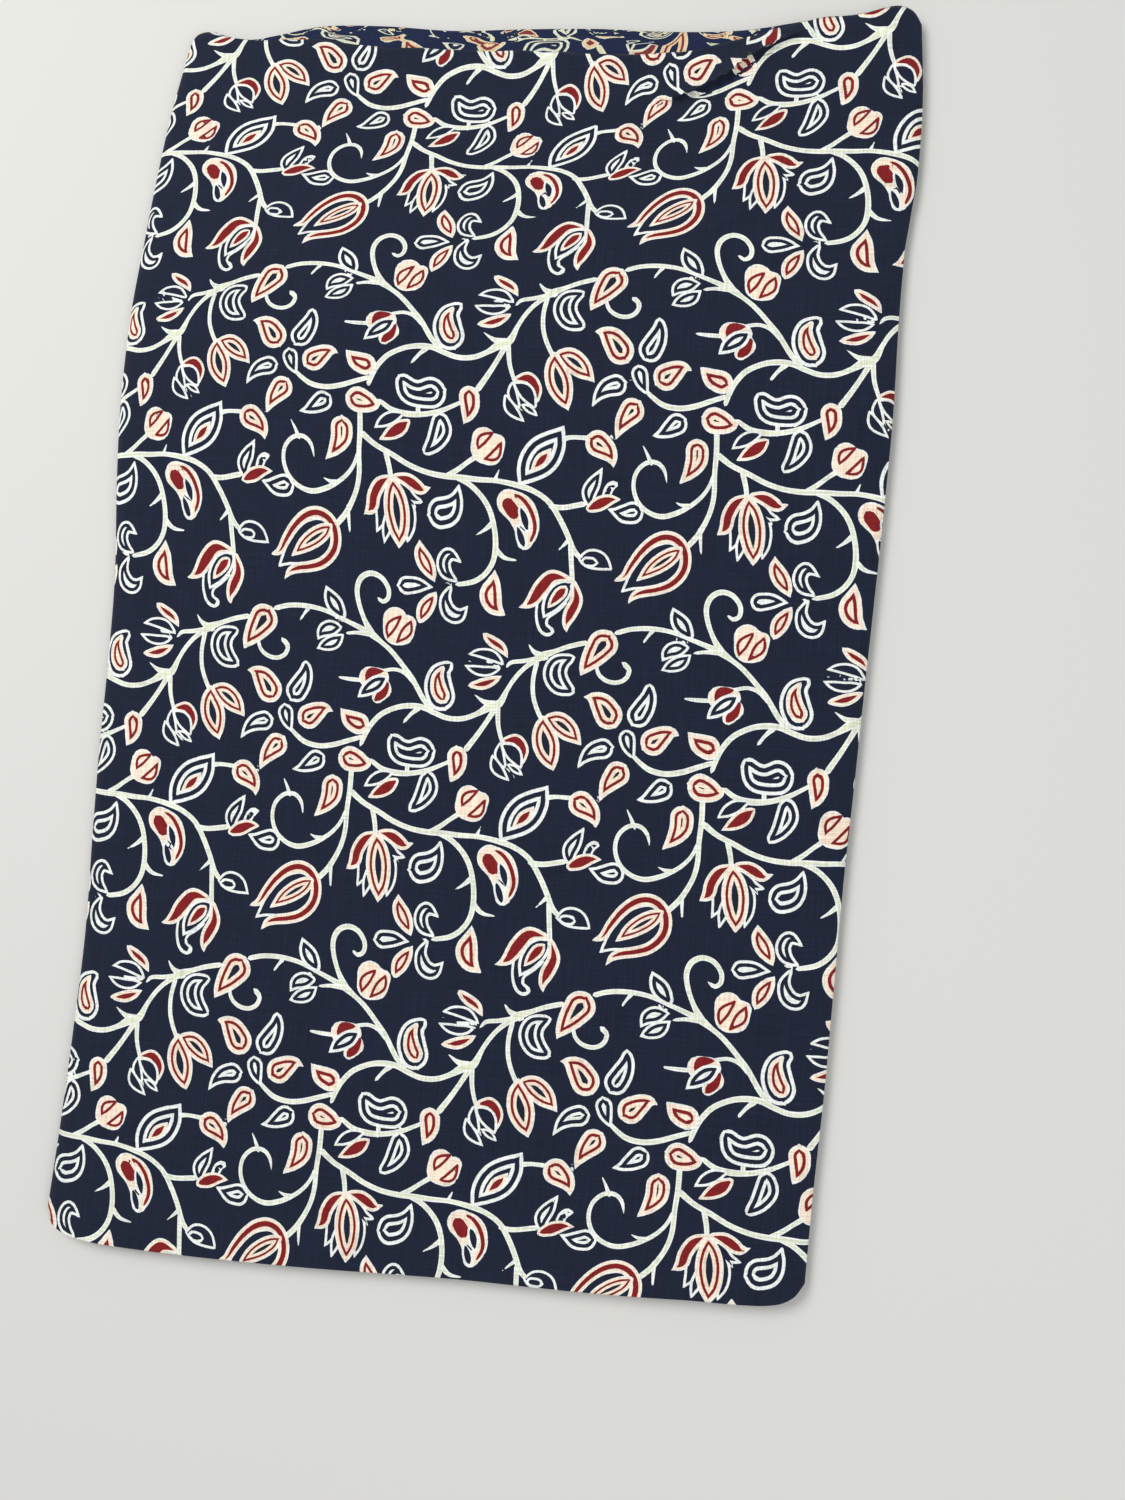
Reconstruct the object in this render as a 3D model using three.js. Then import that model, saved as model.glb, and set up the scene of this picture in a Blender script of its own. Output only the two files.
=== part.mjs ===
// Printed cotton dress fabric, folded back and forth into a flat pad of six layers.
// The printed side of the top layer faces up. The near end shows only folds. At the far end
// the top layer stops short, so a strip of the layer under it shows.
// Millimetres, +Z up, +Y towards the far end, which is along the cloth's length.

import * as THREE from "three";

// One layer and the stack
const LAYERS = 6;
const THICK = 1.1; // one layer of cloth with the air that its weave and its creases hold
const GAP = 0.9; // air between two layers
const PITCH = THICK + GAP;
const TOP = LAYERS - 1;
const WIDTH = 557; // of the pad on average: a 44 inch cloth folded in half

// How the stack gives way
const DROOP = 1.8; // the top layer sinks this much along its side edges
const DROOP_REACH = 34; // and does so over this much of the width
const RIPPLE = 0.7; // height of the soft waves in the top layer
const FREE_END_DROP = 0.2; // the top layer's free end lies this much lower

// Side edges of the top layer, read up the cloth: 0 is the near fold and 1 the far end
const SIDES = [
  { along: 0.0, left: -267, right: 268 },
  { along: 0.07, left: -266, right: 269 },
  { along: 0.14, left: -266, right: 271 },
  { along: 0.22, left: -267, right: 272 },
  { along: 0.3, left: -272, right: 273 },
  { along: 0.37, left: -276, right: 275 },
  { along: 0.45, left: -279, right: 277 },
  { along: 0.52, left: -283, right: 279 },
  { along: 0.6, left: -292, right: 281 },
  { along: 0.67, left: -298, right: 282 },
  { along: 0.75, left: -300, right: 281 },
  { along: 0.82, left: -297, right: 282 },
  { along: 0.86, left: -295, right: 286 },
  { along: 0.93, left: -290, right: 286 },
  { along: 1.0, left: -281, right: 281 },
];

// Ends of the stack, read across the cloth from left to right: where the near folds and the
// far folds reach to, and how far the top layer's free end stays behind the far folds
const ENDS = [
  { across: 0.0, near: -453, far: 444, strip: 2 },
  { across: 0.012, near: -463, far: 452, strip: 2 },
  { across: 0.035, near: -468, far: 455, strip: 3 },
  { across: 0.07, near: -470, far: 449, strip: 3 },
  { across: 0.12, near: -470, far: 453, strip: 8 },
  { across: 0.19, near: -469, far: 460, strip: 16 },
  { across: 0.28, near: -467, far: 459, strip: 21 },
  { across: 0.38, near: -464, far: 454, strip: 20 },
  { across: 0.48, near: -460, far: 454, strip: 22 },
  { across: 0.58, near: -456, far: 453, strip: 24 },
  { across: 0.69, near: -453, far: 449, strip: 21 },
  { across: 0.78, near: -450, far: 449, strip: 9 },
  { across: 0.87, near: -446, far: 456, strip: 3 },
  { across: 0.93, near: -444, far: 460, strip: 3 },
  { across: 0.97, near: -441, far: 465, strip: 3 },
  { across: 0.988, near: -436, far: 461, strip: 3 },
  { across: 1.0, near: -427, far: 452, strip: 3 },
];

// Layers from the bottom up: how far each stays inside the top layer's side edges
const LAYER_SIDES = [
  { left: 4.0, right: 2.5 },
  { left: 2.0, right: 4.0 },
  { left: 3.0, right: 1.0 },
  { left: 4.5, right: 3.0 },
  { left: 1.5, right: 2.0 },
  { left: 0.0, right: 0.0 },
];

// Turns from the top down: the end that each one lies at, how far it stays inside the
// outline there, and how much that changes from the left side to the right
const TURNS = [
  { end: "near", inside: 0.0, slant: 0.0 },
  { end: "far", inside: 2.4, slant: -1.2 },
  { end: "near", inside: 2.2, slant: -3.0 },
  { end: "far", inside: 0.0, slant: 0.0 },
  { end: "near", inside: 3.5, slant: 1.0 },
];
const BOTTOM_END_INSIDE = 9; // the bottom layer's free end, from the far folds

// How finely it is cut
const RUN_STEPS = 15; // along each layer
const TURN_STEPS = 6; // round each fold

// Smooth reading of one column of a table at any place between its rows
function read(table, place, column, at) {
  let i = 0;
  while (i < table.length - 2 && at > table[i + 1][place]) i += 1;
  const before = table[Math.max(i - 1, 0)];
  const a = table[i];
  const b = table[i + 1];
  const after = table[Math.min(i + 2, table.length - 1)];
  const span = b[place] - a[place];
  const t = (at - a[place]) / span;
  const slopeA = ((b[column] - before[column]) / (b[place] - before[place])) * span;
  const slopeB = ((after[column] - a[column]) / (after[place] - a[place])) * span;
  const t2 = t * t;
  const t3 = t2 * t;
  return (
    (2 * t3 - 3 * t2 + 1) * a[column] +
    (t3 - 2 * t2 + t) * slopeA +
    (3 * t2 - 2 * t3) * b[column] +
    (t3 - t2) * slopeB
  );
}

// How far the top layer stands off its even height. Lower layers take their share of it
function lift(across, along) {
  const inFromSide = Math.min(across, 1 - across) * WIDTH;
  const side = Math.max(0, 1 - inFromSide / DROOP_REACH);
  const wave =
    Math.sin(2 * Math.PI * (1.4 * along + 0.35 * across + 0.1)) *
    Math.sin(2 * Math.PI * (1.1 * across - 0.3 * along + 0.2));
  return RIPPLE * wave * (1 - side) - DROOP * side * side;
}

// Height of the middle of a layer. Layer 0 is the bottom one and stays flat
function height(layer, across, along) {
  return THICK / 2 + layer * PITCH + (layer / TOP) * lift(across, along);
}

// The point across the cloth, from one side edge to the other, for a layer
function sideways(layer, across, along) {
  const low = LAYER_SIDES[Math.floor(layer)];
  const high = LAYER_SIDES[Math.ceil(layer)];
  const part = layer - Math.floor(layer);
  const insideLeft = low.left + (high.left - low.left) * part;
  const insideRight = low.right + (high.right - low.right) * part;
  const left = read(SIDES, "along", "left", along) + insideLeft;
  const right = read(SIDES, "along", "right", along) - insideRight;
  return left + (right - left) * across;
}

// Where the turns and the free ends lie at one place across the cloth
function reaches(across) {
  const near = read(ENDS, "across", "near", across);
  const far = read(ENDS, "across", "far", across);
  const turns = TURNS.map((turn) => {
    const inside = turn.inside + turn.slant * (across - 0.5);
    return turn.end === "near" ? near + inside : far - inside;
  });
  const topEnd = far - read(ENDS, "across", "strip", across);
  return { near, far, turns, topEnd, bottomEnd: far - BOTTOM_END_INSIDE };
}

// The middle line of the cloth at one place across it, from the top layer's free end, back
// and forth down to the bottom layer's free end. Each point has its direction with it
function middleLine(across) {
  const { near, far, turns, topEnd, bottomEnd } = reaches(across);
  const alongOf = (y) => Math.min(1, Math.max(0, (y - near) / (far - near)));
  const zOf = (layer, y) => height(layer, across, alongOf(y));
  const line = [];
  const bulge = (PITCH + THICK) / 2;
  let from = topEnd;
  for (let layer = TOP; layer >= 0; layer -= 1) {
    const down = layer === 0;
    const turn = TURNS[TOP - layer];
    const heading = (TOP - layer) % 2 === 0 ? -1 : 1;
    const to = down ? bottomEnd : turns[TOP - layer] - heading * bulge;
    for (let step = 0; step <= RUN_STEPS; step += 1) {
      const y = from + ((to - from) * step) / RUN_STEPS;
      const slope = (zOf(layer, y + 1) - zOf(layer, y - 1)) / 2;
      const free = layer === TOP ? Math.max(0, 1 - step / 2) : 0;
      line.push({
        layer,
        along: alongOf(y),
        y,
        z: zOf(layer, y) - FREE_END_DROP * free,
        towardsY: heading / Math.hypot(1, slope),
        towardsZ: (heading * slope) / Math.hypot(1, slope),
      });
    }
    if (down) break;
    const upper = zOf(layer, to);
    const lower = zOf(layer - 1, to);
    const radius = (upper - lower) / 2;
    const out = turn.end === "near" ? -1 : 1;
    for (let step = 1; step < TURN_STEPS; step += 1) {
      const angle = (Math.PI * step) / TURN_STEPS;
      const y = to + out * radius * Math.sin(angle);
      line.push({
        layer: layer - step / TURN_STEPS,
        along: alongOf(y),
        y,
        z: (upper + lower) / 2 + radius * Math.cos(angle),
        towardsY: out * Math.cos(angle),
        towardsZ: -Math.sin(angle),
      });
    }
    from = to;
  }
  return line;
}

// One closed skin: the printed side and the reverse side of the cloth, its two free ends
// and its two side edges
function foldedCloth() {
  const stations = ENDS.map((row) => row.across);
  const points = [];
  const lines = stations.map((across) => middleLine(across));
  const count = lines[0].length;
  lines.forEach((line, i) => {
    for (const side of [1, -1]) {
      for (const p of line) {
        const x = sideways(p.layer, stations[i], p.along);
        const y = p.y + (side * p.towardsZ * THICK) / 2;
        const z = p.z - (side * p.towardsY * THICK) / 2;
        points.push(x, y, z);
      }
    }
  });
  const at = (station, side, j) => station * 2 * count + side * count + j;
  const faces = [];
  const quad = (a, b, c, d) => faces.push(a, b, c, a, c, d);
  for (let i = 0; i < stations.length - 1; i += 1) {
    for (let j = 0; j < count - 1; j += 1) {
      quad(at(i, 0, j), at(i, 0, j + 1), at(i + 1, 0, j + 1), at(i + 1, 0, j));
      quad(at(i, 1, j), at(i + 1, 1, j), at(i + 1, 1, j + 1), at(i, 1, j + 1));
    }
    quad(at(i, 0, 0), at(i + 1, 0, 0), at(i + 1, 1, 0), at(i, 1, 0));
    const end = count - 1;
    quad(at(i, 0, end), at(i, 1, end), at(i + 1, 1, end), at(i + 1, 0, end));
  }
  const last = stations.length - 1;
  for (let j = 0; j < count - 1; j += 1) {
    quad(at(0, 0, j), at(0, 1, j), at(0, 1, j + 1), at(0, 0, j + 1));
    quad(at(last, 0, j), at(last, 0, j + 1), at(last, 1, j + 1), at(last, 1, j));
  }
  const geometry = new THREE.BufferGeometry();
  geometry.setAttribute("position", new THREE.Float32BufferAttribute(points, 3));
  geometry.setIndex(faces);
  return geometry;
}

// The origin goes to the middle of the pad, on the surface that it rests on
function centred(geometry) {
  geometry.computeBoundingBox();
  const { min, max } = geometry.boundingBox;
  geometry.translate(-(min.x + max.x) / 2, -(min.y + max.y) / 2, -min.z);
  geometry.computeVertexNormals();
  return geometry;
}

const printedCotton = new THREE.MeshStandardMaterial({
  color: 0x1d2544,
  roughness: 0.88,
  metalness: 0,
});

const cloth = new THREE.Mesh(centred(foldedCloth()), printedCotton);
cloth.name = "folded_cotton";

const group = new THREE.Group();
group.name = "printed_cotton_fabric";
group.add(cloth);

export default group;
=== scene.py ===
# %% [markdown]
# # A length of printed cotton, folded
#
# A draper folds dress cotton back and forth into a flat pad. This lesson dresses the packed
# frame of such a pad: six layers of one navy cloth with a winding vine, flowers and leaves.
# The printed side of the top layer faces up. At the far end that layer stops short, so a
# strip of the layer under it shows, with its reverse side up.
#
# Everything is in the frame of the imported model: +Z up, +Y towards the end with the strip.

# %% Load the frame
import math

import bpy
import numpy as np
from mathutils import Matrix


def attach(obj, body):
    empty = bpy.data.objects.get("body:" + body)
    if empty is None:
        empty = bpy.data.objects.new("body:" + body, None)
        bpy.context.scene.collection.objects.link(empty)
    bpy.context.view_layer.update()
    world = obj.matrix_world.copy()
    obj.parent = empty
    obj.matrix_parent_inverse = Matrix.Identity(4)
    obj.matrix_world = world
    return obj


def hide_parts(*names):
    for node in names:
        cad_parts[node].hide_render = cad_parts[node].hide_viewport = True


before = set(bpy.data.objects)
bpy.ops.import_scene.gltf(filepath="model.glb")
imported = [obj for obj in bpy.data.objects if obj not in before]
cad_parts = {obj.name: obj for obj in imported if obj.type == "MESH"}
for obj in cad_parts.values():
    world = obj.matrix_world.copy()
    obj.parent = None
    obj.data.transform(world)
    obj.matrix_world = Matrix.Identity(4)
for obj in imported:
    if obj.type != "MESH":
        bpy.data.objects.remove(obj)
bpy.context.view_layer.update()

# %% [markdown]
# ## The shape of the pad
#
# The outline is uneven, as cloth that is folded by hand is. Two tables hold it in
# millimetres: the two side edges read up the cloth, and the near and far folds read across
# it. `strip` is how far the top layer stops short of the far folds. A third table says how
# far each layer stays inside the one on top.
#
# A plain box could be bevelled and sculpted into this, but its layers would then be drawn
# and not real. Here the cloth is one thin sheet that runs along its own folds.

# %% Outline, layers and turns, in millimetres
SIDES = np.array([
    # along, left, right
    (0.0, -267, 268), (0.07, -266, 269), (0.14, -266, 271), (0.22, -267, 272),
    (0.3, -272, 273), (0.37, -276, 275), (0.45, -279, 277), (0.52, -283, 279),
    (0.6, -292, 281), (0.67, -298, 282), (0.75, -300, 281), (0.82, -297, 282),
    (0.86, -295, 286), (0.93, -290, 286), (1.0, -281, 281),
])
ENDS = np.array([
    # across, near, far, strip
    (0.0, -453, 444, 2), (0.012, -463, 452, 2), (0.035, -468, 455, 3),
    (0.07, -470, 449, 3), (0.12, -470, 453, 8), (0.19, -469, 460, 16),
    (0.28, -467, 459, 21), (0.38, -464, 454, 20), (0.48, -460, 454, 22),
    (0.58, -456, 453, 24), (0.69, -453, 449, 21), (0.78, -450, 449, 9),
    (0.87, -446, 456, 3), (0.93, -444, 460, 3), (0.97, -441, 465, 3),
    (0.988, -436, 461, 3), (1.0, -427, 452, 3),
])
CENTRE = (6.5, 2.5)  # from the tables' zero to the frame's origin
LAYER_INSIDE = np.array([  # bottom layer first: inside the top layer's edges, left and right
    (7.0, 5.5), (5.0, 7.0), (6.0, 4.0), (7.0, 5.5), (4.5, 4.5), (0.0, 0.0),
])
TURNS = [  # from the top down: inside the outline, and how much more at the right than left
    (0.0, 0.0), (2.4, -1.2), (2.2, -3.0), (0.0, 0.0), (3.5, 1.0),
]
BOTTOM_END_INSIDE = 9.0  # the bottom layer's free end, from the far folds
LAYERS = 6
TOP = LAYERS - 1
THICK = 0.7  # the cloth with the air in its weave
PITCH = 2.15  # from one layer to the next
WIDTH = 557.0  # of the pad, on average
print("outline rows:", len(SIDES), "by", len(ENDS), "- layers:", LAYERS)

# %% Smooth reading of a table
def read(table, column, at):
    """Value of a column at any place between the rows, with no corners at the rows."""
    place, value = table[:, 0], table[:, column]
    last = len(place) - 1
    i = np.clip(np.searchsorted(place, at, side="right") - 1, 0, last - 1)
    before, after = np.maximum(i - 1, 0), np.minimum(i + 2, last)
    span = place[i + 1] - place[i]
    t = (at - place[i]) / span
    slope_a = (value[i + 1] - value[before]) / (place[i + 1] - place[before]) * span
    slope_b = (value[after] - value[i]) / (place[after] - place[i]) * span
    return (
        (2 * t**3 - 3 * t**2 + 1) * value[i]
        + (t**3 - 2 * t**2 + t) * slope_a
        + (3 * t**2 - 2 * t**3) * value[i + 1]
        + (t**3 - t**2) * slope_b
    )


print("pad length at its middle:", round(float(read(ENDS, 2, 0.5) - read(ENDS, 1, 0.5)), 1))

# %% [markdown]
# ## How the stack gives way
#
# Each layer sinks towards its side edges, and the top one curls down over the last few
# millimetres, so that the side reads as a soft round edge. Slow waves run over the whole
# pad. Pressed cotton also keeps creases: soft ridges a few millimetres wide, here near the
# far right corner. All of it is a small height that is added to a flat layer.
#
# The first and highest crease is a pleat. A ridge alone would stand up like a wall, so the
# pleat is pushed sideways too, and leans over the cloth on its near side.

# %% Height of a layer
DROOP, DROOP_REACH = 1.8, 34.0  # the pad sinks towards its sides
CURL, CURL_REACH = 2.3, 6.5  # the last few millimetres of the top layer turn down
RIPPLE = 0.7  # height of the slow waves
LOOSE = 0.22  # height of quicker ones, which differ from layer to layer
LEAN = 6.0  # how far the top of the pleat is pushed over
LEAN_FROM, LEAN_OVER = -1.3, 3.2  # the push starts short of the pleat's line, and grows
CREASES = [
    # height, half width on the near side and on the far side, and the points that it runs
    # through in the frame, all in millimetres
    (5.2, 2.6, 9.0, [(98, 388), (130, 401), (152, 414), (166, 427), (186, 438), (214, 449)]),
    (-1.2, 2.2, 2.6, [(112, 390), (138, 398), (158, 411), (174, 425), (196, 436)]),
    (1.1, 2.4, 3.0, [(140, 372), (158, 379), (178, 394)]),
    (0.9, 2.6, 3.5, [(148, 296), (166, 303), (188, 312)]),
]


def beside(line, x, y):
    """For points, how far they lie from a line, how strong it is there (it fades towards its
    ends), whether they lie on its far side, and the direction that crosses it there."""
    line = np.array(line, float)
    steps = np.linalg.norm(np.diff(line, axis=0), axis=1)
    reach = np.concatenate([[0], np.cumsum(steps)])
    away, passed = np.full(x.shape, 1e9), np.zeros_like(x)
    beyond, crossing = np.zeros(x.shape, bool), np.zeros((*x.shape, 2))
    for i in range(len(steps)):
        way = line[i + 1] - line[i]
        from_x, from_y = x - line[i, 0], y - line[i, 1]
        t = np.clip((from_x * way[0] + from_y * way[1]) / steps[i] ** 2, 0, 1)
        gap = np.hypot(from_x - t * way[0], from_y - t * way[1])
        nearer = gap < away
        away = np.where(nearer, gap, away)
        passed = np.where(nearer, (reach[i] + t * steps[i]) / reach[-1], passed)
        beyond = np.where(nearer, way[0] * from_y - way[1] * from_x > 0, beyond)
        crossing[nearer] = np.array([-way[1], way[0]]) / steps[i]
    return away, np.sin(np.pi * np.clip(passed, 0, 1)) ** 0.5, beyond, crossing


def crease_height(x, y):
    """Sum of the creases at points in millimetres."""
    total = np.zeros_like(x)
    for high, near_half, far_half, line in CREASES:
        away, strength, beyond, _ = beside(line, x, y)
        half = np.where(beyond, far_half, near_half)
        total += high * np.exp(-((away / half) ** 2)) * strength
    return total


def lean(x, y):
    """How far the pleat, which is the first crease, pushes points over its near side."""
    _, _, far_half, line = CREASES[0]
    away, strength, beyond, crossing = beside(line, x, y)
    past = np.where(beyond, away, -away)
    start = np.clip((past - LEAN_FROM) / LEAN_OVER, 0, 1)
    ease = LEAN * start**2 * (3 - 2 * start)
    amount = ease * np.exp(-((away / far_half) ** 2)) * strength
    return -amount[:, None] * crossing


def swing(turns):
    """A smooth wave that comes back after each whole turn."""
    return np.sin(2 * np.pi * turns)


def lift(layer, across, along):
    """How far a layer stands off its even height, most at the top."""
    from_side = np.minimum(across, 1 - across) * WIDTH
    side = np.maximum(0, 1 - from_side / DROOP_REACH)
    curl = np.maximum(0, 1 - from_side / CURL_REACH)
    wave = swing(1.4 * along + 0.35 * across + 0.1) * swing(1.1 * across - 0.3 * along + 0.2)
    loose = swing(2.3 * along + 0.37 * layer) * swing(1.7 * across + 0.29 * layer)
    share = layer / TOP
    sunk = RIPPLE * wave * (1 - side) - DROOP * side**2 - CURL * curl**2 * share**2
    return share * sunk + LOOSE * loose * share


def height(layer, across, along):
    """Height of the middle of a layer, which is 0 for the bottom one and 5 for the top."""
    return THICK / 2 + layer * PITCH + lift(layer, across, along)


print("creases:", len(CREASES))

# %% [markdown]
# ## The run of the cloth
#
# A row lies across the cloth at one place of its run. `run` counts from the top layer's
# free end: 0 to 1 is the top layer, 1 to 2 the turn under it, 2 to 3 the next layer, and so
# on, so that even parts are layers and odd parts are turns.

# %% One row of the middle of the cloth
RUN_END = 2 * LAYERS - 1.0  # the bottom layer's free end
FREE_END_WAVES = [(0.5, 6.3, 0), (0.35, 14.9, 1)]  # height, number across the cloth, start


def waves(parts, across):
    """Sum of waves across the cloth."""
    return sum(high * np.sin(2 * np.pi * many * across + start) for high, many, start in parts)


def sideways(layer, across, along):
    """Place across the cloth. The edge of each layer wanders a little, as cut cloth does."""
    low, high = LAYER_INSIDE[int(np.floor(layer))], LAYER_INSIDE[int(np.ceil(layer))]
    part = layer - np.floor(layer)
    inside = low + (high - low) * part
    wander = 0.9 * swing(3.1 * along + 0.41 * layer) + 0.5 * swing(7.3 * along + 0.77 * layer)
    wander = wander * (1 - layer / TOP)
    left = read(SIDES, 1, along) + inside[0] + wander
    right = read(SIDES, 2, along) - inside[1] + wander
    return left + (right - left) * across


def middle_row(run, across):
    """x, y, z of a row, and the direction of the run there, all in table millimetres."""
    near, far = read(ENDS, 1, across), read(ENDS, 2, across)
    part = int(min(np.floor(run), RUN_END - 1))
    t = run - part
    index = part // 2
    layer = TOP - index
    heading = -1 if index % 2 == 0 else 1
    bulge = (PITCH + THICK) / 2

    def turn_at(number):
        inside, slant = TURNS[number]
        inside = inside + slant * (across - 0.5)
        return near + inside if number % 2 == 0 else far - inside

    def along_of(y):
        return np.clip((y - near) / (far - near), 0, 1)

    def z_of(level, y):
        return height(level, across, along_of(y))

    stop = far - BOTTOM_END_INSIDE if layer == 0 else turn_at(index) - heading * bulge
    if part % 2 == 0:
        if index == 0:
            start = far - read(ENDS, 3, across) + waves(FREE_END_WAVES, across)
        else:
            start = turn_at(index - 1) + heading * bulge
        y = start + (stop - start) * t
        slope = (z_of(layer, y + 1) - z_of(layer, y - 1)) / 2
        length = np.hypot(1, slope)
        z = z_of(layer, y)
        x = sideways(layer, across, along_of(y))
        return x, y, z, heading / length, heading * slope / length
    upper, lower = z_of(layer, stop), z_of(layer - 1, stop)
    radius = (upper - lower) / 2
    angle = np.pi * t
    y = stop + heading * radius * np.sin(angle)
    z = (upper + lower) / 2 + radius * np.cos(angle)
    x = sideways(layer - t, across, along_of(y))
    one = np.ones_like(across)
    return x, y, z, heading * np.cos(angle) * one, -np.sin(angle) * one


# %% [markdown]
# ## How finely the sheet is cut
#
# The print is held by the points of the mesh, so the top layer has a point every two and a
# half millimetres or so. Layers that hide under it have far fewer points across. The two
# skins of the cloth, printed and reverse, are cut each for itself.

# %% Rows and columns
COARSE = 8  # hidden rows keep one point in this many
EDGE = [0.0, 0.7, 1.6, 2.8, 4.4]  # the columns lie closer at the side edges
EVEN_FROM = 6.6  # further in they are spread evenly
INNER = 206  # even strips, 2.6 mm wide
columns = np.concatenate([
    EDGE, np.linspace(EVEN_FROM, WIDTH - EVEN_FROM, INNER + 1), WIDTH - np.array(EDGE[::-1]),
]) / WIDTH
assert (len(columns) - 1) % COARSE == 0
every = np.arange(len(columns))
few = every[::COARSE]

FINE_ROWS = 337  # along the top layer
HIDDEN_ROWS = 26  # along each layer under it
FOLD_ROWS = 8  # round each turn
PRINT_RUN, PRINT_ROWS = 2.02, 3  # up to here the print may still show, round the near fold
STRIP_RUN, STRIP_ROWS = 2.965, 12  # from here on the reverse side shows, in the strip


def cut(start, stop, count, keep):
    """Rows from one place of the run up to another: (run, columns that the row keeps)."""
    return [(run, keep) for run in np.linspace(start, stop, count, endpoint=False)]


def cut_rest(first):
    """Rows of every part from one on, and the row that the cloth ends with."""
    rest = []
    for part in range(first, int(RUN_END)):
        rest += cut(part, part + 1, FOLD_ROWS if part % 2 else HIDDEN_ROWS, few)
    return rest + [(RUN_END, few)]


printed_rows = (
    cut(0, 1, FINE_ROWS, every) + cut(1, 2, FOLD_ROWS, every)
    + cut(2, PRINT_RUN, PRINT_ROWS, every) + cut(PRINT_RUN, 3, HIDDEN_ROWS, few) + cut_rest(3)
)
reverse_rows = (
    cut(0, 1, HIDDEN_ROWS, few) + cut(1, 2, FOLD_ROWS, few) + cut(2, STRIP_RUN, HIDDEN_ROWS, few)
    + cut(STRIP_RUN, 3, STRIP_ROWS, every) + cut(3, 4, FOLD_ROWS, every) + cut_rest(4)
)
print("rows:", len(printed_rows), "printed,", len(reverse_rows), "reverse; columns:", len(columns))

# %% Points of the two skins
# At the far folds the cloth is bunched: tiny pleats swallow most of the print there
BUNCH_ROWS = 4  # it starts this many rows before the fold
BUNCH_REACH = 16.0
BUNCH, BUNCH_WAVES = 4.0, [(2.5, 5.3, 0), (1.5, 13.7, 1)]  # print lost for each mm of cloth


def cloth_length(runs):
    """Middle rows for sorted runs, and how far the cloth has run at each, column by column."""
    rows = [middle_row(run, columns) for run in runs]
    xyz = np.array([[x, y, z] for x, y, z, _, _ in rows])
    steps = np.hypot(np.diff(xyz[:, 1], axis=0), np.diff(xyz[:, 2], axis=0))
    gone = np.concatenate([np.zeros((1, len(columns))), np.cumsum(steps, axis=0)])
    return rows, gone


runs = sorted({run for run, _ in printed_rows + reverse_rows})
rows, gone = cloth_length(runs)
number = {run: i for i, run in enumerate(runs)}
first_fold = number[1.0]
bunch_start = number[[run for run, _ in reverse_rows if run < 3][-BUNCH_ROWS]]
bunching = BUNCH + waves(BUNCH_WAVES, columns)
points, cloth_x, cloth_y, skin_rows = [], [], [], []
for side, wanted in ((1, printed_rows), (-1, reverse_rows)):
    skin = []
    for run, keep in wanted:
        x, y, z, to_y, to_z = rows[number[run]]
        px = x[keep]
        py = (y + side * to_z * THICK / 2)[keep]
        pz = (z - side * to_y * THICK / 2)[keep]
        # the print lies straight on the top layer and runs on along the cloth after its fold
        laid = y if run <= 1 else rows[first_fold][1] - (gone[number[run]] - gone[first_fold])
        laid = laid - bunching * np.clip(gone[number[run]] - gone[bunch_start], 0, BUNCH_REACH)
        start = sum(len(p) for p in points)
        points.append(np.stack([px + CENTRE[0], py + CENTRE[1], pz], 1))
        cloth_x.append(px)
        cloth_y.append(laid[keep])
        skin.append((run, np.arange(start, start + len(keep)), columns[keep]))
    skin_rows.append(skin)
points = np.concatenate(points)
cloth_x, cloth_y = np.concatenate(cloth_x), np.concatenate(cloth_y)
on_top = np.zeros(len(points), bool)
for run, index, _ in skin_rows[0]:
    on_top[index] = run <= 1
flat_x, flat_y = points[:, 0].copy(), points[:, 1].copy()  # before the pleat leans over
points[:, 2] += np.where(on_top, crease_height(flat_x, flat_y), 0)
points[:, :2] += np.where(on_top[:, None], lean(flat_x, flat_y), 0)
print("points:", len(points), "- length of the cloth in mm:", round(float(gone[-1].mean())))

# %% Faces
def between(a, b, at_a, at_b, flip):
    """Faces between two rows of points: four-sided where they match, else three-sided."""
    made = []
    if len(a) == len(b) and np.allclose(at_a, at_b):
        for i in range(len(a) - 1):
            made.append((a[i], b[i], b[i + 1], a[i + 1]))
    else:
        i = j = 0
        while i < len(a) - 1 or j < len(b) - 1:
            if j == len(b) - 1 or (i < len(a) - 1 and at_a[i + 1] <= at_b[j + 1]):
                made.append((a[i], b[j], a[i + 1]))
                i += 1
            else:
                made.append((a[i], b[j], b[j + 1]))
                j += 1
    return [face[::-1] for face in made] if flip else made


# parts: the top layer's printed side with its fold, the rest of that side, the reverse side,
# and the cut edges
PRINT_ON_TOP, PRINT_BELOW, REVERSE_SIDE, CUT_EDGES = range(4)
faces, face_part = [], []
for which, skin in enumerate(skin_rows):
    for (run, a, at_a), (_, b, at_b) in zip(skin[:-1], skin[1:]):
        new = between(a, b, at_a, at_b, which == 1)
        faces += new
        printed_part = PRINT_ON_TOP if run < 2 else PRINT_BELOW
        face_part += [REVERSE_SIDE if which else printed_part] * len(new)
edge_faces = []
for side, flip in ((0, False), (-1, True)):
    a = [index[side] for _, index, _ in skin_rows[0]]
    b = [index[side] for _, index, _ in skin_rows[1]]
    at_a = [run for run, _, _ in skin_rows[0]]
    at_b = [run for run, _, _ in skin_rows[1]]
    edge_faces += between(a, b, at_a, at_b, flip)
for end, flip in ((0, True), (-1, False)):
    (_, a, at_a), (_, b, at_b) = skin_rows[0][end], skin_rows[1][end]
    edge_faces += between(a, b, at_a, at_b, flip)
faces += edge_faces
face_part += [CUT_EDGES] * len(edge_faces)
faces = [tuple(int(p) for p in face) for face in faces]
face_part = np.array(face_part)
print("faces:", len(faces), "- triangles:", sum(len(f) - 2 for f in faces))

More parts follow.
